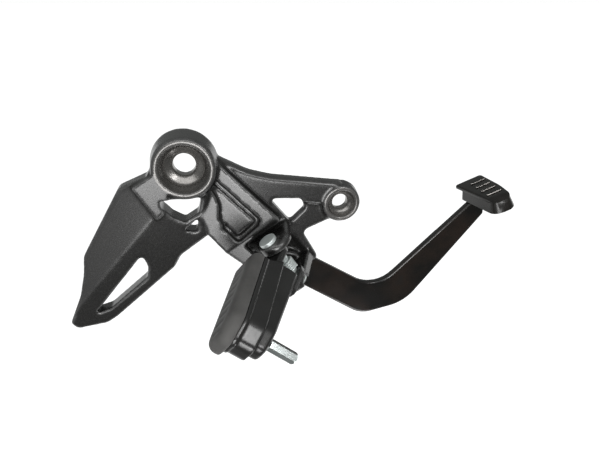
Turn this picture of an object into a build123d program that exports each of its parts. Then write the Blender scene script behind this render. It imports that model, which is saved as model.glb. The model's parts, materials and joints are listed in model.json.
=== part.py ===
from build123d import *
import os
from math import cos, radians, sin

# Right-hand rider's step bracket of a motorcycle with its folding footpeg and the rear brake pedal.
# The pieces are drawn as seen from outside: u runs forward, v up and w outboard, with w = 0 on the
# face that bolts to the frame and u = v = 0 on the axis of the swing arm bolt. SIDE stands them up.
SIDE = Plane.XZ

# Bracket: boss for the swing arm bolt
pivot_bore_d = 14.6
pivot_dish = 3.0
pivot_seat_d = 26.8
pivot_mouth_d = 32.4
pivot_rim_d = 40.5
pivot_base_d = 44.0
pivot_boss_w = 20.0
pivot_foot_w = 4.0
pivot_seat_w = 11.5
pivot_rim_round = 2.0

# Bracket: boss for the front bolt
front_u = 105.7
front_v = -34.2
front_bore_d = 11.0
front_dish = 1.6
front_seat_d = 17.4
front_mouth_d = 20.5
front_rim_d = 27.0
front_base_d = 29.5
front_boss_w = 12.0
front_seat_w = 8.5
front_rim_round = 1.4

# Bracket: web with the arm to the front boss, and the lower strut and leg
web_back_w = 1.0
web_face_w = 11.0
web_round = 2.8
arm_top_v = -25.0
leg_face_w = 8.0
leg_round = 1.2
leg_floor_w = 4.5
leg_floor_x = 10.0
leg_edge_x = 15.0

# How far a cut runs past the faces that it goes through
past = 1.0
past_w = 40.0

# Bracket: raised spar from the boss to the clevis
spar_back_w = 2.0
spar_boss_w = 15.5
spar_slope = 0.09
spar_turn = 47.0
neck_w = 19.0
neck_slope = 0.42
pocket_depth = 2.2
groove_depth = 4.0

# Bracket: heel guard
guard_back_w = 3.0
guard_block_w = 22.0
guard_crest_top_w = 18.0
guard_crest_tip_w = 16.5
guard_edge_w = 14.5
guard_inner_w = 15.0
strip_w = 20.0

# Clevis: the pin runs at an angle in the plane of the bracket
hinge_u = 50.9
hinge_v = -50.6
hinge_w = 29.4
hinge_lean = 32.7
spot_face_d = 16.4
spot_face_t = 1.2
ear_r = 11.8
ear_shift_x = 3.0
ear_shift_y = -3.0
ear_t = 7.0
ear_round = 2.5
ear_gap = 27.0
ear_root_w = 4.0
ear_right = 17.0
ear_left = -19.0
lower_ear_t = 7.5
lower_ear_r = 8.0
lower_ear_shift_x = -2.0
lower_ear_right = 18.0
clip_well_d = 13.2
clip_well_t = 3.8

# Hinge pin, its washer and clip
pin_d = 8.0
pin_clearance = 0.06
pin_head_d = 12.4
pin_head_t = 2.5
pin_tail = 3.4
pin_washer_d = 12.0
pin_washer_t = 1.2
clip_t = 1.0
clip_d = 11.0
clip_groove_d = 6.4
pin_chamfer = 0.6
clip_mouth = 0.8
seat_gap = 0.05

# Footpeg: it stands out from the pin, swung back and rolled
peg_swing = 22.8
peg_roll = 22.1
knuckle_r = 8.0
upper_knuckle_t = 5.0
lower_knuckle_t = 5.0
knuckle_gap = 0.3
knuckle_neck_r = 5.0
knuckle_bite = 3.0
peg_start = 13.5
peg_end = 83.0
peg_top = 19.6
peg_root_top = 7.0
peg_half_width = 12.0
peg_tip_l = 13.0
peg_tip_share = 0.3
peg_tip_round = 0.58
lip_t = 2.8
lip_half_width = 12.6
lip_inset = 0.8
keel_top = 5.5
keel_root = -7.8
keel_tip = -1.7
keel_half_width = 9.6
keel_end = 79.0
keel_round = 2.5
rubber_start = 19.0
rubber_end = 86.5
rubber_t = 9.0
rubber_half_width = 13.2
rubber_round = 5.5
rubber_heel_round = 1.2
tread_count = 9
tread_groove_l = 10.0
tread_groove_w = 2.2
tread_groove_depth = 0.7
screw_d = 5.0
screw_clearance = 0.2
screw_head_d = 9.0
screw_head_t = 3.2
screw_head_room = 0.6
screw_seat = 0.5
screw_bite = 5.5
screw_places = (32.0, 52.0)

# Bank sensor under the tip of the peg
sensor_place = 68.7
sensor_thread_d = 5.0
sensor_thread_l = 8.0
sensor_hex = 6.8
sensor_l = 20.4
sensor_nose_r = 4.2
sensor_boss_d = 10.5
sensor_boss_t = 1.8

# Footpeg spring on the pin, between the knuckles
peg_spring_wire = 1.5
peg_spring_gap = 0.6
peg_spring_turns = 5
peg_spring_pitch = 1.7

# Pedal pivot, behind the clevis
pedal_u = 66.0
pedal_v = -83.5
shaft_d = 12.0
shaft_clearance = 0.04
shaft_sink = 7.5
shaft_tail = 4.0
bush_wall = 1.5
hub_wall = 3.5
hub_l = 20.0
seal_t = 1.5
seal_inset = 2.0
thrust_t = 1.5
circlip_t = 1.2
circlip_groove_d = 10.6
circlip_d = 16.0
pivot_boss_d = 27.0

# Pedal arm and pad
arm_t = 5.0
arm_round = 1.6
arm_eye = 4.5
pad_u = 226.2
pad_v = -28.4
pad_tilt = 21.0
pad_plate_t = 2.6
pad_plate_round = 1.8
pad_skirt = 11.0
pad_flare = 1.8
pad_wall = 2.5
pad_nose_w = 30.0
pad_nose_round = 9.0
pad_rib_count = 4
pad_rib_x = -7.4
pad_rib_first_w = -5.8
pad_rib_pitch = 7.8
pad_rib_l = 11.5
pad_rib_w = 2.6
pad_rib_h = 1.2

# Push-rod lever of the pedal
lever_l = 38.0
lever_angle = 125.0
lever_t = 6.0
lever_r = 9.0
lever_collar = 3.0
lever_hole_d = 8.0

# Pedal return spring
pedal_spring_wire = 2.2
pedal_spring_gap = 0.6
pedal_spring_turns = 4

# Outlines as corners (u, v) or (u, v, corner radius)
WEB = [
    (8, 12), (22, 3.5, 15), (41, -6.9, 30), (56, -11.3, 40), (front_u, -18.8), (front_u, front_v),
    (99, -46.8), (78.1, -55.4, 4), (90.8, -78.8, 3), (48.5, -96, 8), (10.9, -47.8, 4), (8, -34.5, 8),
    (13, -18), (0, 0),
]
LEG = [
    (76.2, -31.1), (91, -33.7), (115, -36), (115, -62), (92, -100), (40, -100), (60, -47.5), (69.4, -45.8),
]
WINDOW = [
    (54.0, -26.9, 2), (76.7, -28.6, 2.5), (80.0, -36.6, 2), (69.4, -46.6, 2),
]
SPAR = [
    (2, 14), (14.5, 9.2), (62, -41.3, 3), (34.7, -57.2, 3), (46, -74.5), (37, -81.5), (10.9, -47.8, 4),
    (8, -34.5, 10), (14.5, -19), (0, 0),
]
POCKET = [
    (15.5, -15.5), (19.6, -12.9), (44.5, -39.7, 2), (44.5, -42.4, 2), (31.3, -53.3, 3), (21.8, -42.4, 3),
    (19.2, -36.5, 8), (20.1, -28.5, 8), (18.6, -21.5, 8),
]
GROOVE = [
    (18.6, -8.2), (47.2, -38.6, 1.5), (45.6, -42.6, 1.5), (16.6, -11.8),
]
END_GROOVE = [
    (46.6, -42.2), (31.3, -55.2, 3), (20.4, -42.8), (23.4, -41.0), (31.2, -50.2, 2), (43.4, -39.8),
]
GUARD = [
    (0, 0), (-20, 3), (-23.8, -4.4), (-42.6, -12.1, 5), (-72.1, -58.3, 8), (-74.6, -72.1, 12),
    (-79.7, -88.2, 12), (-90.2, -109.5, 3.5), (-87.5, -115.6, 4), (-66.2, -113.9, 12), (-58, -108.6),
    (-14.0, -72.2, 6), (-8.6, -63.0, 6), (10.4, -49.8), (16, -42), (10, -30), (14, -18),
]
SLOT = [
    (-34.2, -59.4, 2), (-31.8, -70.0, 5), (-33.6, -78.4, 3), (-61.6, -101.2, 4), (-73, -104.6, 1),
]
STRIP = [
    (-12, 4), (-22, -3.6), (-33.4, -10.4), (-20.5, -32.6), (-12, -25),
]
OPENING = [
    (-17.5, -20), (-17, -25.4, 3), (-10.8, -32.6, 6), (-3.2, -37.4, 2), (6.2, -31.6, 1.5), (9, -20),
]
SMALL_OPENING = [
    (6.0, -35.0, 0.8), (-4.2, -43.8, 0.8), (4.0, -45.6, 0.8),
]
SPAR_ROOT = (20, -5)
NECK_ROOT = (30, -58)
CREST_TOP = (-37.3, -47.5, guard_crest_top_w)
CREST_TIP = (-76.6, -90.3, guard_crest_tip_w)
GUARD_EDGE = (-65, -47, guard_edge_w)
GUARD_INNER = (-25, -72, guard_inner_w)
ARM = [
    (57, -72), (70, -70.2), (93.8, -86.8, 20), (140.7, -117.6, 24), (210.1, -49.2), (213.4, -46.1),
    (213.2, -34), (222.5, -30), (224, -42), (226, -56.3), (167.9, -134.1, 34), (129.7, -141.7, 22),
    (79, -106.3), (60, -96.5),
]
# Outline of the pad's tread: fore and aft from its front edge, and w
TREAD = [
    (0.4, -15.6, 3), (2, 10, 60), (0.6, 30, 7), (-14.6, 27.5, 5), (-22.4, -15.4, 2),
]
SKIRT = [
    (0.4, -10, 3), (2, 10, 60), (0.6, 30, 7), (-14.0, 27, 5), (-20.0, -10, 2.5),
]


def outline(corners):
    """Face of a closed outline, with the corners that name a radius rounded."""
    face = make_face(Polyline(*[corner[:2] for corner in corners], close=True))
    for corner in corners:
        if len(corner) == 3:
            vertex = face.vertices().sort_by_distance(Vector(corner[0], corner[1], 0))[0]
            face = fillet(vertex, corner[2])
    return face


def slab(face, low, high):
    """Face of the u, v plane as a plate between two heights."""
    return Pos(0, 0, low) * extrude(face, high - low)


def turned(*profile):
    """Solid turned about the w axis from its (radius, w) corners."""
    return revolve(Plane.XZ * make_face(Polyline(*profile, close=True)), Axis.Z)


def rod(diameter, low, high):
    """Round bar along w between two heights."""
    return Pos(0, 0, low) * Cylinder(diameter / 2, high - low, align=(Align.CENTER, Align.CENTER, Align.MIN))


def ring(outer_d, inner_d, low, high):
    """Flat ring about w between two heights."""
    return rod(outer_d, low, high) - rod(inner_d, low - past, high + past)


def plane_through(a, b, c):
    """Plane through three points, with its normal outboard."""
    normal = (Vector(*b) - Vector(*a)).cross(Vector(*c) - Vector(*a))
    if normal.Z < 0:
        normal = normal * -1
    return Plane(origin=a, z_dir=normal)


def below(solid, plane):
    """What is left of a solid on the inboard side of a plane."""
    return split(solid, bisect_by=plane, keep=Keep.BOTTOM)


def above(solid, plane):
    """What is left of a solid on the outboard side of a plane."""
    return split(solid, bisect_by=plane, keep=Keep.TOP)


# The hinge frame: x across the clevis, y outboard, z down the pin from the upper ear's top face
PIN_UP = (-sin(radians(hinge_lean)), cos(radians(hinge_lean)), 0)
HINGE = Plane(
    origin=(hinge_u, hinge_v, hinge_w),
    x_dir=(cos(radians(hinge_lean)), sin(radians(hinge_lean)), 0),
    z_dir=(-PIN_UP[0], -PIN_UP[1], 0),
)
lower_ear_z = ear_t + ear_gap
washer_z = lower_ear_z + lower_ear_t - clip_well_t
clip_z = washer_z + pin_washer_t + seat_gap
pin_end_z = washer_z + pin_tail

# The peg frame inside the hinge frame: x to its front side, y to its tread, z along the peg
SWING_X = cos(radians(peg_swing))
SWING_Y = sin(radians(peg_swing))
ROLL_C = cos(radians(peg_roll))
ROLL_S = sin(radians(peg_roll))
PEG = Plane(
    origin=(0, 0, ear_t + ear_gap / 2),
    x_dir=(ROLL_C * SWING_X, ROLL_C * SWING_Y, -ROLL_S),
    z_dir=(-SWING_Y, SWING_X, 0),
)

# The front face of the spar rises from the boss towards the clevis
SPAR_FACE = Plane(
    origin=(*SPAR_ROOT, spar_boss_w),
    z_dir=(-spar_slope * cos(radians(spar_turn)), spar_slope * sin(radians(spar_turn)), 1),
)
NECK_FACE = Plane(
    origin=(*NECK_ROOT, neck_w),
    z_dir=(-neck_slope * PIN_UP[0], -neck_slope * PIN_UP[1], 1),
)


def in_hinge(shape):
    return HINGE.location * shape


def in_peg(shape):
    return HINGE.location * PEG.location * shape


def at_pedal(shape):
    return Pos(pedal_u, pedal_v, 0) * shape


def pivot_boss():
    boss = turned(
        (0, 0), (pivot_base_d / 2, 0), (pivot_base_d / 2, pivot_foot_w), (pivot_rim_d / 2, pivot_boss_w),
        (0, pivot_boss_w),
    )
    rim = boss.edges().filter_by(GeomType.CIRCLE).sort_by(Axis.Z)[-1]
    return fillet(rim, pivot_rim_round)


def stepped_bore(bore_d, dish, seat_d, seat_w, mouth_d, boss_w):
    """Through bore below a dished seat for the bolt's head, in a flared mouth."""
    return turned(
        (0, -past), (bore_d / 2, -past), (bore_d / 2, seat_w - dish), (seat_d / 2, seat_w),
        (mouth_d / 2, boss_w), (mouth_d / 2, boss_w + past), (0, boss_w + past),
    )


def front_boss():
    boss = turned(
        (0, 0), (front_base_d / 2, 0), (front_base_d / 2, web_back_w), (front_rim_d / 2, front_boss_w),
        (0, front_boss_w),
    )
    rim = boss.edges().filter_by(GeomType.CIRCLE).sort_by(Axis.Z)[-1]
    return Pos(front_u, front_v, 0) * fillet(rim, front_rim_round)


def web():
    plan = outline(WEB) - outline(WINDOW)
    leg = slab(plan, web_back_w, leg_face_w)
    leg = fillet(leg.faces().sort_by(Axis.Z)[-1].edges(), leg_round)
    clevis_floor = outline([
        (ear_left, leg_floor_w - hinge_w), (leg_floor_x, leg_floor_w - hinge_w),
        (leg_edge_x, leg_face_w - hinge_w), (leg_edge_x, 0), (ear_left, 0),
    ])
    leg -= in_hinge(slab(clevis_floor, ear_t, lower_ear_z))
    arm = slab(plan - outline(LEG), web_back_w, web_face_w)
    front_edges = arm.faces().sort_by(Axis.Z)[-1].edges()
    return leg + fillet(front_edges.filter_by(lambda edge: edge.center().Y > arm_top_v), web_round)


def spar():
    block = slab(outline(SPAR), spar_back_w, past_w)
    block = below(block, SPAR_FACE)
    block = below(block, NECK_FACE)
    pocket = above(slab(outline(POCKET), 0, past_w), SPAR_FACE.offset(-pocket_depth))
    groove = slab(outline(GROOVE), 0, past_w) + slab(outline(END_GROOVE), 0, past_w)
    return block - pocket - above(groove, SPAR_FACE.offset(-groove_depth))


def heel_guard():
    block = slab(outline(GUARD) - outline(SLOT), guard_back_w, guard_block_w)
    block = below(block, plane_through(CREST_TOP, CREST_TIP, GUARD_EDGE))
    block = below(block, plane_through(CREST_TOP, CREST_TIP, GUARD_INNER))
    strip = slab(outline(STRIP), guard_back_w, strip_w)
    return block + strip


def lug(radius, shift_x, shift_y, right):
    """Outline in the hinge frame of an ear that is round about the pin and runs back into the web."""
    root = ear_root_w - hinge_w
    return make_hull([
        *(Pos(shift_x, shift_y) * Circle(radius)).edges(),
        *Line((ear_left, root), (right, root)).edges(),
    ])


def upper_ear():
    ear = slab(lug(ear_r, ear_shift_x, ear_shift_y, ear_right), spot_face_t, ear_t)
    ear = fillet(ear.faces().sort_by(Axis.Z)[0].edges(), ear_round)
    return in_hinge(ear + rod(spot_face_d, 0, ear_t))


def lower_ear():
    bottom = lower_ear_z + lower_ear_t
    ear = slab(lug(lower_ear_r, lower_ear_shift_x, 0, lower_ear_right), lower_ear_z, bottom)
    return in_hinge(ear - rod(clip_well_d, washer_z, bottom + past))


def step_bracket():
    frame = heel_guard() + web() + spar()
    frame -= slab(outline(OPENING), 0, past_w)
    frame -= slab(outline(SMALL_OPENING), 0, past_w)
    frame += upper_ear() + lower_ear()
    frame += pivot_boss() + front_boss() + at_pedal(rod(pivot_boss_d, web_back_w, web_face_w))
    frame -= stepped_bore(
        pivot_bore_d, pivot_dish, pivot_seat_d, pivot_seat_w, pivot_mouth_d, pivot_boss_w)
    frame -= Pos(front_u, front_v, 0) * stepped_bore(
        front_bore_d, front_dish, front_seat_d, front_seat_w, front_mouth_d, front_boss_w)
    frame -= in_hinge(rod(pin_d + 2 * pin_clearance, -past, pin_end_z))
    frame -= at_pedal(rod(shaft_d, 0, web_back_w + shaft_sink))
    return frame


def hinge_pin():
    pin = rod(pin_d, 0, pin_end_z) + rod(pin_head_d, -pin_head_t, 0)
    pin -= ring(pin_d + past, clip_groove_d, clip_z, clip_z + clip_t + seat_gap)
    pin = chamfer(pin.edges().filter_by(GeomType.CIRCLE).sort_by(Axis.Z)[-1], pin_chamfer)
    head_rim = pin.edges().filter_by(GeomType.CIRCLE).sort_by(Axis.Z)[0]
    return in_hinge(fillet(head_rim, pin_chamfer))


def hinge_pin_washer():
    return in_hinge(ring(pin_washer_d, pin_d + 2 * pin_clearance, washer_z, washer_z + pin_washer_t))


def open_clip(outer_d, groove_d, low, thickness):
    """Retaining clip with an open side, seated in a groove."""
    clip = ring(outer_d, groove_d, low, low + thickness)
    mouth = Pos(outer_d / 2, 0, low) * Box(outer_d, groove_d * clip_mouth, 2 * (thickness + past))
    return clip - mouth


def hinge_pin_clip():
    return in_hinge(open_clip(clip_d, clip_groove_d, clip_z, clip_t))


def coil(radius, wire, turns, pitch, low):
    """Round-wire coil about w."""
    path = Helix(pitch, pitch * turns, radius)
    section = Plane(origin=path @ 0, z_dir=path % 0) * Circle(wire / 2)
    return Pos(0, 0, low) * sweep(section, path)


def peg_return_spring():
    low = lower_ear_z - knuckle_gap - lower_knuckle_t - peg_spring_wire - peg_spring_turns * peg_spring_pitch
    radius = pin_d / 2 + peg_spring_gap + peg_spring_wire / 2
    return in_hinge(coil(radius, peg_spring_wire, peg_spring_turns, peg_spring_pitch, low))


# The sensor's seat, down from the pin
sensor_seat = sensor_boss_t - keel_tip


def knuckle(low, thickness):
    """One eye of the peg on the pin, with a neck into the peg's body."""
    reach = peg_start + knuckle_bite
    eye = make_hull([
        *Circle(knuckle_r).edges(),
        *(Pos(-SWING_Y * reach, SWING_X * reach) * Circle(knuckle_neck_r)).edges(),
    ])
    return in_hinge(slab(eye, low, low + thickness))


def peg_layer(half_width, start, end, low, high):
    """Layer of the peg with a round tip, between two heights over the pin."""
    tip_r = half_width * peg_tip_round
    plan = outline([
        (-half_width, start), (half_width, start), (half_width, end - peg_tip_l, 2 * tip_r),
        (half_width * peg_tip_share, end, tip_r), (-half_width, end, tip_r),
    ])
    return Pos(0, low, 0) * extrude(Plane.XZ * plan, high - low, dir=(0, 1, 0))


def peg_slope(low_root, start, low_tip, end):
    """Plane across the peg through a height at its root and one at its tip, facing the tread."""
    return Plane(origin=(0, low_root, start), z_dir=(0, end - start, low_root - low_tip))


def under_peg(shape, place):
    """Puts what stands on w on the underside of the peg, pointing away from the tread."""
    return Pos(0, 0, place) * Rot(90, 0, 0) * shape


def footpeg_casting():
    body = peg_layer(peg_half_width, peg_start, peg_end - lip_inset, keel_top, peg_top - lip_t)
    body = below(body, peg_slope(peg_root_top, peg_start, peg_top - lip_t, rubber_start))
    lip = peg_layer(lip_half_width, rubber_start, peg_end, peg_top - lip_t, peg_top)
    keel = peg_layer(keel_half_width, peg_start, keel_end, keel_root, keel_top)
    keel = above(keel, peg_slope(keel_root, peg_start, keel_tip, keel_end))
    keel = fillet(keel.faces().sort_by(Axis.Y)[0].edges(), keel_round)
    peg = body + lip + keel
    peg += under_peg(rod(sensor_boss_d, -keel_top, sensor_boss_t - keel_tip), sensor_place)
    peg -= under_peg(rod(sensor_thread_d, sensor_seat - sensor_thread_l, past_w), sensor_place)
    for place in screw_places:
        peg -= under_peg(rod(screw_d + 2 * screw_clearance, -past_w, past_w), place)
        peg -= under_peg(rod(screw_head_d + 2 * screw_head_room, screw_seat, past_w), place)
    casting = in_peg(peg)
    casting += knuckle(ear_t + knuckle_gap, upper_knuckle_t)
    casting += knuckle(lower_ear_z - knuckle_gap - lower_knuckle_t, lower_knuckle_t)
    return casting - in_hinge(rod(pin_d + 2 * pin_clearance, 0, lower_ear_z))


def footpeg_rubber():
    pad = peg_layer(rubber_half_width, rubber_start, rubber_end, peg_top, peg_top + rubber_t)
    pad = fillet(pad.faces().sort_by(Axis.Y)[-1].edges(), rubber_round)
    pad = fillet(pad.faces().sort_by(Axis.Y)[0].edges(), rubber_heel_round)
    pitch = (rubber_end - rubber_start) / (tread_count + 1)
    for index in range(tread_count):
        place = rubber_start + pitch * (index + 1)
        groove = slab(SlotOverall(tread_groove_l, tread_groove_w), -tread_groove_depth, past)
        pad -= Pos(0, peg_top + rubber_t, place) * Rot(-90, 0, 0) * groove
    for place in screw_places:
        pad -= under_peg(rod(screw_d, -peg_top - screw_bite, 0), place)
    return in_peg(pad)


def rubber_screws():
    screw = rod(screw_d, -peg_top - screw_bite, screw_seat) + rod(
        screw_head_d, screw_seat, screw_seat + screw_head_t)
    return in_peg(Compound([under_peg(screw, place) for place in screw_places]))


def bank_sensor():
    tip = sensor_seat + sensor_l
    across = sensor_hex / cos(radians(30))
    bar = slab(RegularPolygon(across / 2, 6), sensor_seat, tip)
    nose_w = tip - sensor_nose_r
    nose = rod(2 * sensor_nose_r, sensor_seat, nose_w) + Pos(0, 0, nose_w) * Sphere(sensor_nose_r)
    pin = (bar & nose) + rod(sensor_thread_d, sensor_seat - sensor_thread_l, sensor_seat)
    return in_peg(under_peg(pin, sensor_place))


# Stack on the pedal's pivot, inboard from the web
hub_front_w = web_back_w - seal_t - seat_gap
hub_back_w = hub_front_w - hub_l
thrust_w = hub_back_w - seal_t - seat_gap - thrust_t
circlip_w = thrust_w - seat_gap - circlip_t
shaft_end_w = circlip_w - shaft_tail
bush_d = shaft_d + 2 * bush_wall
hub_d = bush_d + 2 * hub_wall
running_d = shaft_d + 2 * shaft_clearance


def pivot_shaft():
    shaft = rod(shaft_d, shaft_end_w, web_back_w + shaft_sink)
    shaft -= ring(shaft_d + past, circlip_groove_d, circlip_w - seat_gap, circlip_w + circlip_t)
    return at_pedal(chamfer(shaft.edges().filter_by(GeomType.CIRCLE).sort_by(Axis.Z)[0], pin_chamfer))


def hub_bush():
    return at_pedal(ring(bush_d, running_d, hub_back_w, hub_front_w))


def pedal_hub():
    return at_pedal(ring(hub_d, bush_d, hub_back_w, hub_front_w))


def dust_seal(low):
    return at_pedal(ring(hub_d - seal_inset, running_d, low, low + seal_t))


def outer_dust_seal():
    return dust_seal(hub_front_w)


def inner_dust_seal():
    return dust_seal(hub_back_w - seal_t)


def thrust_washer():
    return at_pedal(ring(hub_d, running_d, thrust_w, thrust_w + thrust_t))


def pivot_circlip():
    return at_pedal(open_clip(circlip_d, circlip_groove_d, circlip_w, circlip_t))


# The pad's frame: x fore and aft from the front edge of its tread, y up through it, z outboard
PAD = Location((pad_u, pad_v, 0)) * Rot(0, 0, pad_tilt)


def pad_plan(corners, growth, height):
    """Outline of the pad, moved out by a growth, at a height over its tread."""
    return Pos(0, height, 0) * (Plane.XZ * offset(outline(corners), growth))


def pad_nose():
    """Block that rounds the outboard end of the pad from its tread down to its skirt."""
    profile = outline([
        (0, -past_w), (pad_nose_w, -past_w), (pad_nose_w, 0, pad_nose_round), (-past_w, 0),
        (-past_w, -past_w),
    ])
    return Rot(0, -90, 0) * slab(profile, -past_w, past_w)


def pedal_pad():
    plate = Pos(0, -pad_plate_t, 0) * extrude(Plane.XZ * outline(TREAD), pad_plate_t, dir=(0, 1, 0))
    plate = fillet(plate.faces().sort_by(Axis.Y)[-1].edges(), pad_plate_round)
    skirt = loft([pad_plan(SKIRT, 0, -pad_plate_t), pad_plan(SKIRT, pad_flare, -pad_skirt)])
    hollow = loft([
        pad_plan(SKIRT, -pad_wall, -pad_plate_t), pad_plan(SKIRT, pad_flare - pad_wall, -pad_skirt),
    ])
    pad = (plate + (skirt - hollow)) & pad_nose()
    for index in range(pad_rib_count):
        rib = slab(SlotOverall(pad_rib_l, pad_rib_w), -pad_plate_t / 2, pad_rib_h)
        pad += Pos(pad_rib_x, 0, pad_rib_first_w + index * pad_rib_pitch) * Rot(-90, 0, 0) * rib
    return PAD * pad


def pedal_arm():
    blade = outline(ARM) + Pos(pedal_u, pedal_v) * Circle(hub_d / 2 + arm_eye)
    plate = slab(blade, hub_front_w - arm_t, hub_front_w)
    plate = fillet(plate.faces().sort_by(Axis.Z)[-1].edges(), arm_round)
    over_tread = PAD * Pos(0, -pad_plate_t, 0) * Box(
        past_w * 2, past_w * 2, past_w * 2, align=(Align.CENTER, Align.MIN, Align.CENTER))
    return plate - over_tread - at_pedal(rod(hub_d, hub_back_w, web_back_w))


def pushrod_lever():
    end = (lever_l * cos(radians(lever_angle)), lever_l * sin(radians(lever_angle)))
    blade = make_hull([*Circle(hub_d / 2 + lever_collar).edges(), *(Pos(*end) * Circle(lever_r)).edges()])
    lever = slab(blade, hub_back_w, hub_back_w + lever_t)
    lever -= rod(hub_d, hub_back_w - past, web_back_w)
    lever -= Pos(*end) * rod(lever_hole_d, hub_back_w - past, web_back_w)
    return at_pedal(lever)


def pedal_return_spring():
    low = hub_back_w + lever_t + pedal_spring_wire
    high = hub_front_w - arm_t - pedal_spring_wire
    pitch = (high - low) / pedal_spring_turns
    radius = hub_d / 2 + pedal_spring_gap + pedal_spring_wire / 2
    return at_pedal(coil(radius, pedal_spring_wire, pedal_spring_turns, pitch, low))


PIECES = [
    step_bracket, hinge_pin, hinge_pin_washer, hinge_pin_clip, peg_return_spring,
    footpeg_casting, footpeg_rubber, rubber_screws, bank_sensor,
    pivot_shaft, thrust_washer, pivot_circlip, pedal_return_spring,
    pedal_arm, pedal_pad, pedal_hub, hub_bush, outer_dust_seal, inner_dust_seal, pushrod_lever,
]

os.makedirs("parts", exist_ok=True)
for piece in PIECES:
    export_step(SIDE.location * piece(), f"parts/{piece.__name__}.step")
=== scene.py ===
import json
import math

import bpy
from mathutils import Matrix, Quaternion, Vector


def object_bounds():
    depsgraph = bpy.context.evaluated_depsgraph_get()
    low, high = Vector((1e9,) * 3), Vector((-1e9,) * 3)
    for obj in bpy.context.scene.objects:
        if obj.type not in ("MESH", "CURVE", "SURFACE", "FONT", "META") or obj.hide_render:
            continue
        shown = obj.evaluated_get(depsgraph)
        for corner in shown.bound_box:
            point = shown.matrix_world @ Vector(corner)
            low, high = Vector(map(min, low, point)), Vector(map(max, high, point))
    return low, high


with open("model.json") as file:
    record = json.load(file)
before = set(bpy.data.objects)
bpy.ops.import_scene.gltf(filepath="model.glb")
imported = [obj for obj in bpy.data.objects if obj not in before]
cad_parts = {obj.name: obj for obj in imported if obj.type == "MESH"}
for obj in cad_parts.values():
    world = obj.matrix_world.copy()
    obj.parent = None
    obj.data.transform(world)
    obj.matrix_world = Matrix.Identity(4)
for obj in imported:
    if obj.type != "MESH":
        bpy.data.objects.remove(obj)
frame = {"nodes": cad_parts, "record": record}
nodes = frame["nodes"]
cad_low, cad_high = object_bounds()
scene = bpy.context.scene
scene.view_settings.view_transform = "Standard"


# Materials: lengths are in metres, and colours are linear

NOISE_ROUGHNESS = 0.55

# The bolt seats and their rims, rubbed by the bolts. They lie about axes along Y.
PIVOT_WEAR = {"axis": (0.0, 0.0, 0.0), "seat": 0.0160, "rim": 0.0190, "face": -0.0190}
FRONT_WEAR = {"axis": (0.1057, 0.0, -0.0342), "seat": 0.0100, "rim": 0.0128, "face": -0.0112}
SEAT_FADE = 0.0006
RIM_WEAR = 0.5
COAT_METAL = 0.15
RUBBED_METAL = 0.85

# The pad's tread: its upward direction, its height along that, and the height of its ribs
PAD_UP = (-0.3584, 0.0, 0.9336)
PAD_TREAD = -0.1076
RIB_TOP = 0.0012


def grey(value, warm=0.0):
    return (value * (1.0 + warm), value, value * (1.0 - warm))


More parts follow.
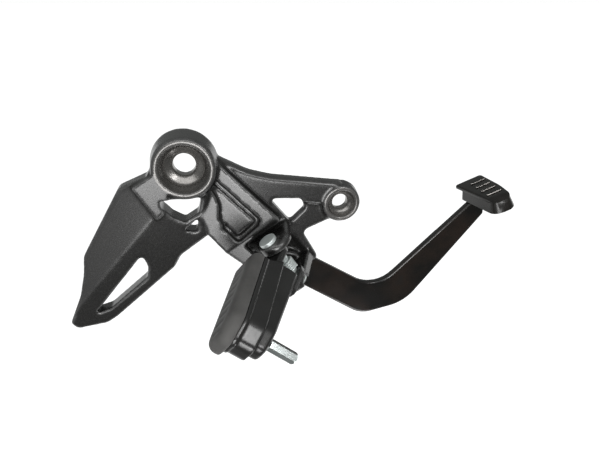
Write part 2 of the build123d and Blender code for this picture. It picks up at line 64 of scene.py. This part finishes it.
class Finish:
    """A node material with its principled shader and the helpers that wire its textures."""

    def __init__(self, name):
        self.material = bpy.data.materials.new(name)
        self.material.use_nodes = True
        self.tree = self.material.node_tree
        self.shader = self.tree.nodes["Principled BSDF"]
        self.place = self.add("ShaderNodeTexCoord").outputs["Object"]

    def add(self, kind, **settings):
        node = self.tree.nodes.new(kind)
        for key, value in settings.items():
            setattr(node, key, value)
        return node

    def link(self, source, target):
        self.tree.links.new(source, target)

    def set(self, **values):
        for key, value in values.items():
            self.shader.inputs[key.replace("_", " ")].default_value = value

    def noise(self, scale, detail=3.0):
        node = self.add("ShaderNodeTexNoise")
        node.inputs["Scale"].default_value = scale
        node.inputs["Detail"].default_value = detail
        node.inputs["Roughness"].default_value = NOISE_ROUGHNESS
        self.link(self.place, node.inputs["Vector"])
        return node.outputs["Fac"]

    def cells(self, scale):
        node = self.add("ShaderNodeTexVoronoi")
        node.inputs["Scale"].default_value = scale
        self.link(self.place, node.inputs["Vector"])
        return node

    def edges(self):
        """How far the surface stands out at a point: over one half on an edge."""
        return self.add("ShaderNodeNewGeometry").outputs["Pointiness"]

    def maths(self, operation, first, second):
        node = self.add("ShaderNodeMath", operation=operation)
        self.link(first, node.inputs[0])
        self.link(second, node.inputs[1])
        return node.outputs["Value"]

    def near_axis(self, axis, radius):
        """One inside a radius about an axis along Y, nothing outside it."""
        flat = self.add("ShaderNodeVectorMath", operation="MULTIPLY")
        flat.inputs[1].default_value = (1.0, 0.0, 1.0)
        self.link(self.place, flat.inputs[0])
        apart = self.add("ShaderNodeVectorMath", operation="DISTANCE")
        apart.inputs[1].default_value = axis
        self.link(flat.outputs["Vector"], apart.inputs[0])
        return self.span(apart.outputs["Value"], 1.0, 0.0, radius - SEAT_FADE, radius)

    def bolt_wear(self, axis, seat, rim, face):
        """One on a bolt's seat, and less on the flat rim round it that stands at a place along Y."""
        axes = self.add("ShaderNodeSeparateXYZ")
        self.link(self.place, axes.inputs["Vector"])
        on_face = self.span(axes.outputs["Y"], RIM_WEAR, 0.0, face, face + SEAT_FADE)
        ring = self.maths("MULTIPLY", on_face, self.near_axis(axis, rim))
        return self.maths("MAXIMUM", ring, self.near_axis(axis, seat))

    def ramp(self, source, stops):
        node = self.add("ShaderNodeValToRGB")
        elements = node.color_ramp.elements
        while len(elements) < len(stops):
            elements.new(0.5)
        for element, (position, colour) in zip(elements, stops):
            element.position = position
            element.color = (*colour, 1.0)
        self.link(source, node.inputs["Fac"])
        return node.outputs["Color"]

    def span(self, source, low, high, from_low=0.0, from_high=1.0):
        node = self.add("ShaderNodeMapRange")
        node.inputs["From Min"].default_value = from_low
        node.inputs["From Max"].default_value = from_high
        node.inputs["To Min"].default_value = low
        node.inputs["To Max"].default_value = high
        self.link(source, node.inputs["Value"])
        return node.outputs["Result"]

    def mix(self, factor, first, second):
        node = self.add("ShaderNodeMix", data_type="RGBA")
        self.link(factor, node.inputs["Factor"])
        self.link(first, node.inputs["A"])
        self.link(second, node.inputs["B"])
        return node.outputs["Result"]

    def bump(self, height, strength, distance):
        node = self.add("ShaderNodeBump")
        node.inputs["Strength"].default_value = strength
        node.inputs["Distance"].default_value = distance
        self.link(height, node.inputs["Height"])
        return node.outputs["Normal"]

    def surface(self, colour, roughness, normal):
        self.link(colour, self.shader.inputs["Base Color"])
        self.link(roughness, self.shader.inputs["Roughness"])
        self.link(normal, self.shader.inputs["Normal"])
        return self.material


def cast_coat():
    """Satin dark grey coat on the bracket, with metal flakes, a fine cast skin, and paler edges that are
    part edge wear and part painted highlight.
    """
    f = Finish("cast_coat")
    f.set(Specular_IOR_Level=0.7)
    base = f.ramp(f.noise(35.0), [(0.3, grey(0.007, 0.05)), (0.7, grey(0.012, 0.05))])
    flakes = f.ramp(f.cells(2600.0).outputs["Color"], [(0.55, grey(0.0)), (0.95, grey(1.0))])
    bright = f.ramp(f.noise(300.0), [(0.3, grey(0.04)), (0.7, grey(0.08))])
    colour = f.mix(f.span(flakes, 0.0, 0.28), base, bright)
    # Paler colour on edges and ridges: partly paint wear, partly a painted highlight standing in for the
    # glints along the edges.
    edge_wear_and_highlight = f.ramp(f.edges(), [(0.505, grey(0.0)), (0.56, grey(1.0))])
    pale = f.ramp(f.noise(180.0), [(0.3, grey(0.14)), (0.7, grey(0.24))])
    colour = f.mix(f.span(edge_wear_and_highlight, 0.0, 0.7), colour, pale)
    seats = f.maths("MAXIMUM", f.bolt_wear(**PIVOT_WEAR), f.bolt_wear(**FRONT_WEAR))
    rubbed_and_highlight = f.ramp(f.noise(1400.0), [(0.35, grey(0.15, 0.04)), (0.65, grey(0.21, 0.04))])
    colour = f.mix(seats, colour, rubbed_and_highlight)
    f.link(f.span(seats, COAT_METAL, RUBBED_METAL), f.shader.inputs["Metallic"])
    roughness = f.span(f.noise(600.0), 0.22, 0.31)
    skin = f.bump(f.noise(900.0, detail=4.0), 0.08, 0.00025)
    return f.surface(colour, roughness, skin)


def peg_coat():
    """Near-black semi-gloss coat on the peg's casting."""
    f = Finish("peg_coat")
    f.set(Specular_IOR_Level=0.6)
    colour = f.ramp(f.noise(45.0), [(0.3, grey(0.010, 0.03)), (0.75, grey(0.018, 0.03))])
    # Paler colour on edges: partly paint wear, partly a painted highlight along the edges.
    edge_wear_and_highlight = f.ramp(f.edges(), [(0.53, grey(0.0)), (0.63, grey(1.0))])
    pale = f.ramp(f.noise(180.0), [(0.3, grey(0.05)), (0.7, grey(0.09))])
    colour = f.mix(f.span(edge_wear_and_highlight, 0.0, 0.15), colour, pale)
    roughness = f.span(f.noise(220.0), 0.20, 0.30)
    skin = f.bump(f.noise(700.0, detail=4.0), 0.10, 0.00025)
    return f.surface(colour, roughness, skin)


def peg_rubber():
    """Moulded rubber with a dry bloom and a grained skin."""
    f = Finish("peg_rubber")
    f.set(Specular_IOR_Level=0.35, Sheen_Weight=0.1, Sheen_Roughness=0.5)
    bloom = f.noise(60.0, detail=5.0)
    colour = f.ramp(bloom, [(0.25, grey(0.055, 0.03)), (0.5, grey(0.075, 0.03)), (0.8, grey(0.10, 0.03))])
    roughness = f.span(f.noise(160.0), 0.55, 0.75)
    grain = f.bump(f.noise(1300.0, detail=2.0), 0.30, 0.0002)
    return f.surface(colour, roughness, grain)


def pedal_paint():
    """Gloss black paint with a little orange peel, dust and scuffs, and brownish patches of painted
    reflection.
    """
    f = Finish("pedal_paint")
    f.set(Specular_IOR_Level=0.32, Coat_Weight=0.3, Coat_Roughness=0.1)
    dust = f.ramp(f.cells(190.0).outputs["Distance"], [(0.02, grey(1.0)), (0.06, grey(0.0))])
    patch = f.ramp(f.noise(28.0), [(0.45, grey(0.0)), (0.7, grey(0.8))])
    amount = f.maths("MULTIPLY", dust, patch)
    # Brownish patches in the black: a painted reflection of the surroundings, not a tint of the paint.
    painted_brown_reflection = (0.012, 0.008, 0.006)
    black = f.ramp(f.noise(32.0), [(0.4, grey(0.004, 0.10)), (0.6, painted_brown_reflection), (0.75, grey(0.008))])
    grime = f.ramp(f.noise(500.0), [(0.3, grey(0.08, 0.04)), (0.7, grey(0.14, 0.04))])
    colour = f.mix(amount, black, grime)
    roughness = f.span(f.noise(75.0, detail=5.0), 0.14, 0.30)
    peel = f.bump(f.noise(170.0, detail=1.0), 0.05, 0.0004)
    return f.surface(colour, roughness, peel)


def pad_paint():
    """Black paint of the pad, with pale bands on the upper walls of each rib: a painted highlight that also
    stands for paint wear.
    """
    f = Finish("pad_paint")
    f.set(Specular_IOR_Level=0.3)
    black = f.ramp(f.noise(90.0), [(0.35, grey(0.006, 0.10)), (0.7, grey(0.014, 0.10))])
    # Pale colour for the rib walls: a painted highlight, which also stands for paint wear on the rib edges.
    rubbed_and_highlight = f.ramp(f.noise(500.0), [(0.35, grey(0.45, 0.05)), (0.7, grey(0.75, 0.05))])
    over_tread = f.add("ShaderNodeVectorMath", operation="DOT_PRODUCT")
    over_tread.inputs[1].default_value = PAD_UP
    f.link(f.place, over_tread.inputs[0])
    height = f.span(over_tread.outputs["Value"], 0.0, 1.0, PAD_TREAD, PAD_TREAD + RIB_TOP)
    # Mask of the painted rib highlight: the upper walls of each rib, from two fifths of its height nearly
    # to its top.
    ribs = f.ramp(height, [(0.40, grey(0.0)), (0.55, grey(1.0)), (0.93, grey(1.0)), (0.98, grey(0.0))])
    colour = f.mix(ribs, black, rubbed_and_highlight)
    roughness = f.span(f.noise(120.0, detail=5.0), 0.16, 0.30)
    grain = f.bump(f.noise(900.0, detail=2.0), 0.06, 0.0002)
    return f.surface(colour, roughness, grain)


def zinc_plate(name, metal, smooth, rough, depth):
    """Bright bluish zinc plate with a drawn grain."""
    f = Finish(name)
    f.set(Metallic=metal)
    colour = f.ramp(f.noise(90.0), [(0.3, (0.66, 0.71, 0.70)), (0.7, (0.80, 0.85, 0.84))])
    roughness = f.span(f.noise(420.0), smooth, rough)
    grain = f.bump(f.noise(1500.0, detail=2.0), depth, 0.0002)
    return f.surface(colour, roughness, grain)


def spring_steel():
    """Dark oiled steel of the spring and the clips."""
    f = Finish("spring_steel")
    f.set(Metallic=1.0)
    colour = f.ramp(f.noise(240.0), [(0.3, grey(0.22)), (0.7, grey(0.34))])
    roughness = f.span(f.noise(500.0), 0.28, 0.45)
    return f.surface(colour, roughness, f.bump(f.noise(1800.0), 0.08, 0.0002))


def bush_bronze():
    """Sintered bronze with fine pores."""
    f = Finish("bush_bronze")
    f.set(Metallic=1.0)
    colour = f.ramp(f.noise(700.0), [(0.3, (0.42, 0.28, 0.12)), (0.7, (0.60, 0.43, 0.22))])
    roughness = f.span(f.noise(900.0), 0.35, 0.55)
    return f.surface(colour, roughness, f.bump(f.noise(2500.0), 0.15, 0.0002))


def seal_rubber():
    """Black rubber of the dust seals."""
    f = Finish("seal_rubber")
    f.set(Specular_IOR_Level=0.35)
    colour = f.ramp(f.noise(300.0), [(0.3, grey(0.018)), (0.7, grey(0.034))])
    roughness = f.span(f.noise(500.0), 0.5, 0.7)
    return f.surface(colour, roughness, f.bump(f.noise(1800.0), 0.15, 0.0002))


finishes = {
    "bracket_casting": cast_coat(),
    "peg_casting": peg_coat(),
    "peg_rubber": peg_rubber(),
    "pedal_paint": pedal_paint(),
    "zinc_plate": zinc_plate("zinc_plate", metal=0.55, smooth=0.30, rough=0.44, depth=0.06),
    "spring_steel": spring_steel(),
    "bush_bronze": bush_bronze(),
    "seal_rubber": seal_rubber(),
}
for entry in frame["record"]["subparts"]:
    mesh = nodes[entry["node"]].data
    mesh.materials.clear()
    mesh.materials.append(finishes[entry["material_slot"]])
nodes["pedal_pad"].data.materials[0] = pad_paint()
nodes["bank_sensor"].data.materials[0] = zinc_plate(
    "zinc_bright", metal=1.0, smooth=0.11, rough=0.14, depth=0.003)


# Surfaces: the castings get their cast radii, the rest smooth faces with crisp edges

WELD_DISTANCE = 0.000002
SMOOTH_FACTOR = 0.5
CRISP_ANGLE = math.radians(32)

# Size of the skin's cells, and rounds of smoothing
CAST = {
    "step_bracket": (0.0008, 14),
    "footpeg_casting": (0.0006, 5),
    "footpeg_rubber": (0.0007, 20),
    "pedal_arm": (0.0005, 9),
}
for name, piece in nodes.items():
    piece.data.polygons.foreach_set("use_smooth", [True] * len(piece.data.polygons))
    weld = piece.modifiers.new("weld", "WELD")
    weld.merge_threshold = WELD_DISTANCE
    if name in CAST:
        cell, rounds = CAST[name]
        skin = piece.modifiers.new("skin", "REMESH")
        skin.mode = "VOXEL"
        skin.voxel_size = cell
        skin.use_smooth_shade = True
        soften = piece.modifiers.new("soften", "SMOOTH")
        soften.factor = SMOOTH_FACTOR
        soften.iterations = rounds
    else:
        crisp = piece.modifiers.new("crisp", "EDGE_SPLIT")
        crisp.split_angle = CRISP_ANGLE


# Stage

# The floor ends below the part's front, so that faces turned to the camera mirror the lamps, not the floor.
# Its far end is turned up, so that it fills the picture to the top.
FLOOR_COLOUR = (0.8, 0.8, 0.8, 1.0)
FLOOR_GLOW = (0.8, 0.8, 0.8, 1.0)
FLOOR_GAP = 0.26
FLOOR_FRONT = -0.22
FLOOR_WHITE = 0.02
FLOOR_BACK = 90.0
FLOOR_SIDE = 90.0
FLOOR_LIP = 1.6


def floor_material():
    """Pale floor that takes light and shadow, looks white, also mirrored, and fades out to the front."""
    material = bpy.data.materials.new("floor")
    material.use_nodes = True
    tree = material.node_tree
    tree.nodes.clear()
    link = tree.links.new
    output = tree.nodes.new("ShaderNodeOutputMaterial")

    # White for the eye, in mirrors and through glass
    path = tree.nodes.new("ShaderNodeLightPath")
    seen = tree.nodes.new("ShaderNodeMath")
    seen.operation = "ADD"
    seen.use_clamp = True
    seen_through = tree.nodes.new("ShaderNodeMath")
    seen_through.operation = "ADD"
    seen_through.use_clamp = True
    white = tree.nodes.new("ShaderNodeEmission")
    white.inputs["Color"].default_value = FLOOR_GLOW
    link(path.outputs["Is Camera Ray"], seen.inputs[0])
    link(path.outputs["Is Glossy Ray"], seen.inputs[1])
    link(seen.outputs["Value"], seen_through.inputs[0])
    link(path.outputs["Is Transmission Ray"], seen_through.inputs[1])
    link(seen_through.outputs["Value"], white.inputs["Strength"])

    # The plain surface below it, which takes the shadow
    plain = tree.nodes.new("ShaderNodeBsdfDiffuse")
    plain.inputs["Color"].default_value = FLOOR_COLOUR
    both = tree.nodes.new("ShaderNodeAddShader")
    link(white.outputs["Emission"], both.inputs[0])
    link(plain.outputs["BSDF"], both.inputs[1])

    # The fade to the front
    place = tree.nodes.new("ShaderNodeTexCoord")
    axes = tree.nodes.new("ShaderNodeSeparateXYZ")
    there = tree.nodes.new("ShaderNodeMapRange")
    there.inputs["From Min"].default_value = FLOOR_FRONT
    there.inputs["From Max"].default_value = FLOOR_WHITE
    clear = tree.nodes.new("ShaderNodeBsdfTransparent")
    faded = tree.nodes.new("ShaderNodeMixShader")
    link(place.outputs["Object"], axes.inputs["Vector"])
    link(axes.outputs["Y"], there.inputs["Value"])
    link(there.outputs["Result"], faded.inputs["Fac"])
    link(clear.outputs["BSDF"], faded.inputs[1])
    link(both.outputs["Shader"], faded.inputs[2])
    link(faded.outputs["Shader"], output.inputs["Surface"])
    return material


floor_z = cad_low.z - FLOOR_GAP
floor_mesh = bpy.data.meshes.new("floor")
floor_mesh.from_pydata(
    [(-FLOOR_SIDE, FLOOR_FRONT, floor_z), (FLOOR_SIDE, FLOOR_FRONT, floor_z),
     (FLOOR_SIDE, FLOOR_BACK, floor_z), (-FLOOR_SIDE, FLOOR_BACK, floor_z),
     (FLOOR_SIDE, FLOOR_BACK, FLOOR_LIP), (-FLOOR_SIDE, FLOOR_BACK, FLOOR_LIP)],
    [], [(0, 1, 2, 3), (3, 2, 4, 5)],
)
floor_mesh.materials.append(floor_material())
floor = bpy.data.objects.new("floor", floor_mesh)
scene.collection.objects.link(floor)

# Room: dark below and in front of the part, brighter above and behind it
ROOM_TINT = (0.97, 1.0, 0.98, 1.0)
ROOM_BRIGHT_SIDE = (-0.30, 0.25, 0.92)
ROOM_DARK = 0.15
ROOM_BRIGHT = 0.46
ROOM_TURN = -0.2


def studio_world():
    world = bpy.data.worlds.new("studio")
    world.use_nodes = True
    tree = world.node_tree
    room = tree.nodes["Background"]
    room.inputs["Color"].default_value = ROOM_TINT
    towards = tree.nodes.new("ShaderNodeTexCoord")
    side = tree.nodes.new("ShaderNodeVectorMath")
    side.operation = "DOT_PRODUCT"
    side.inputs[1].default_value = ROOM_BRIGHT_SIDE
    level = tree.nodes.new("ShaderNodeMapRange")
    level.inputs["From Min"].default_value = ROOM_TURN
    level.inputs["To Min"].default_value = ROOM_DARK
    level.inputs["To Max"].default_value = ROOM_BRIGHT
    tree.links.new(towards.outputs["Generated"], side.inputs[0])
    tree.links.new(side.outputs["Value"], level.inputs["Value"])
    tree.links.new(level.outputs["Result"], room.inputs["Strength"])
    return world


scene.world = studio_world()

# The point that the lamps look at, in the middle of the bracket
MIDDLE = Vector((0.03, -0.02, -0.04))


def softbox(name, azimuth, elevation, distance, width, height, power, lean=0.0):
    """Oval lamp that looks at the bracket's middle. Azimuth and lean are to the right, in degrees."""
    turn = math.radians(azimuth)
    rise = math.radians(elevation)
    way = Vector((math.sin(turn) * math.cos(rise), -math.cos(turn) * math.cos(rise), math.sin(rise)))
    lamp = bpy.data.lights.new(name, "AREA")
    lamp.shape = "ELLIPSE"
    lamp.size = width
    lamp.size_y = height
    lamp.energy = power
    lamp_object = bpy.data.objects.new(name, lamp)
    lamp_object.location = MIDDLE + way * distance
    lamp_object.rotation_mode = "QUATERNION"
    lean_turn = Quaternion((0.0, 0.0, 1.0), -math.radians(lean))
    lamp_object.rotation_quaternion = (-way).to_track_quat("-Z", "Y") @ lean_turn
    scene.collection.objects.link(lamp_object)


softbox("key", azimuth=-6.5, elevation=-10.5, distance=2.00, width=0.64, height=1.16, power=17.0, lean=30.0)
softbox("core", azimuth=5.0, elevation=-6.0, distance=2.00, width=0.35, height=0.35, power=4.5)
softbox("right", azimuth=29.5, elevation=20.5, distance=0.61, width=0.13, height=0.13, power=0.58)
softbox("right_fill", azimuth=42.5, elevation=16.0, distance=0.73, width=0.40, height=0.40, power=0.15)
softbox("top", azimuth=-4.0, elevation=34.0, distance=0.70, width=1.00, height=0.26, power=1.90)
softbox("left", azimuth=-34.0, elevation=-14.0, distance=0.90, width=0.68, height=0.68, power=0.70)
softbox("behind", azimuth=117.0, elevation=-2.0, distance=0.90, width=0.25, height=0.25, power=0.25)
softbox("under", azimuth=47.0, elevation=-59.0, distance=0.35, width=0.12, height=0.12, power=0.18)


# Camera at the photograph's view

FOCAL_PX = 470.0
IMAGE_WIDTH_PX = 600.0
SENSOR_MM = 36.0
CLIP_START = 0.01
CAMERA_PLACE = Vector((0.0217, -0.3100, 0.0954))
CAMERA_RIGHT = Vector((0.9841, -0.1778, 0.0))
CAMERA_UP = Vector((0.0797, 0.4408, 0.8940))

camera_data = bpy.data.cameras.new("camera")
camera_data.sensor_width = SENSOR_MM
camera_data.lens = FOCAL_PX / IMAGE_WIDTH_PX * SENSOR_MM
camera_data.clip_start = CLIP_START
camera = bpy.data.objects.new("camera", camera_data)
camera_back = CAMERA_RIGHT.cross(CAMERA_UP)
pose = Matrix((CAMERA_RIGHT, CAMERA_UP, camera_back)).transposed().to_4x4()
pose.translation = CAMERA_PLACE
camera.matrix_world = pose
scene.collection.objects.link(camera)
scene.camera = camera

bpy.context.view_layer.update()
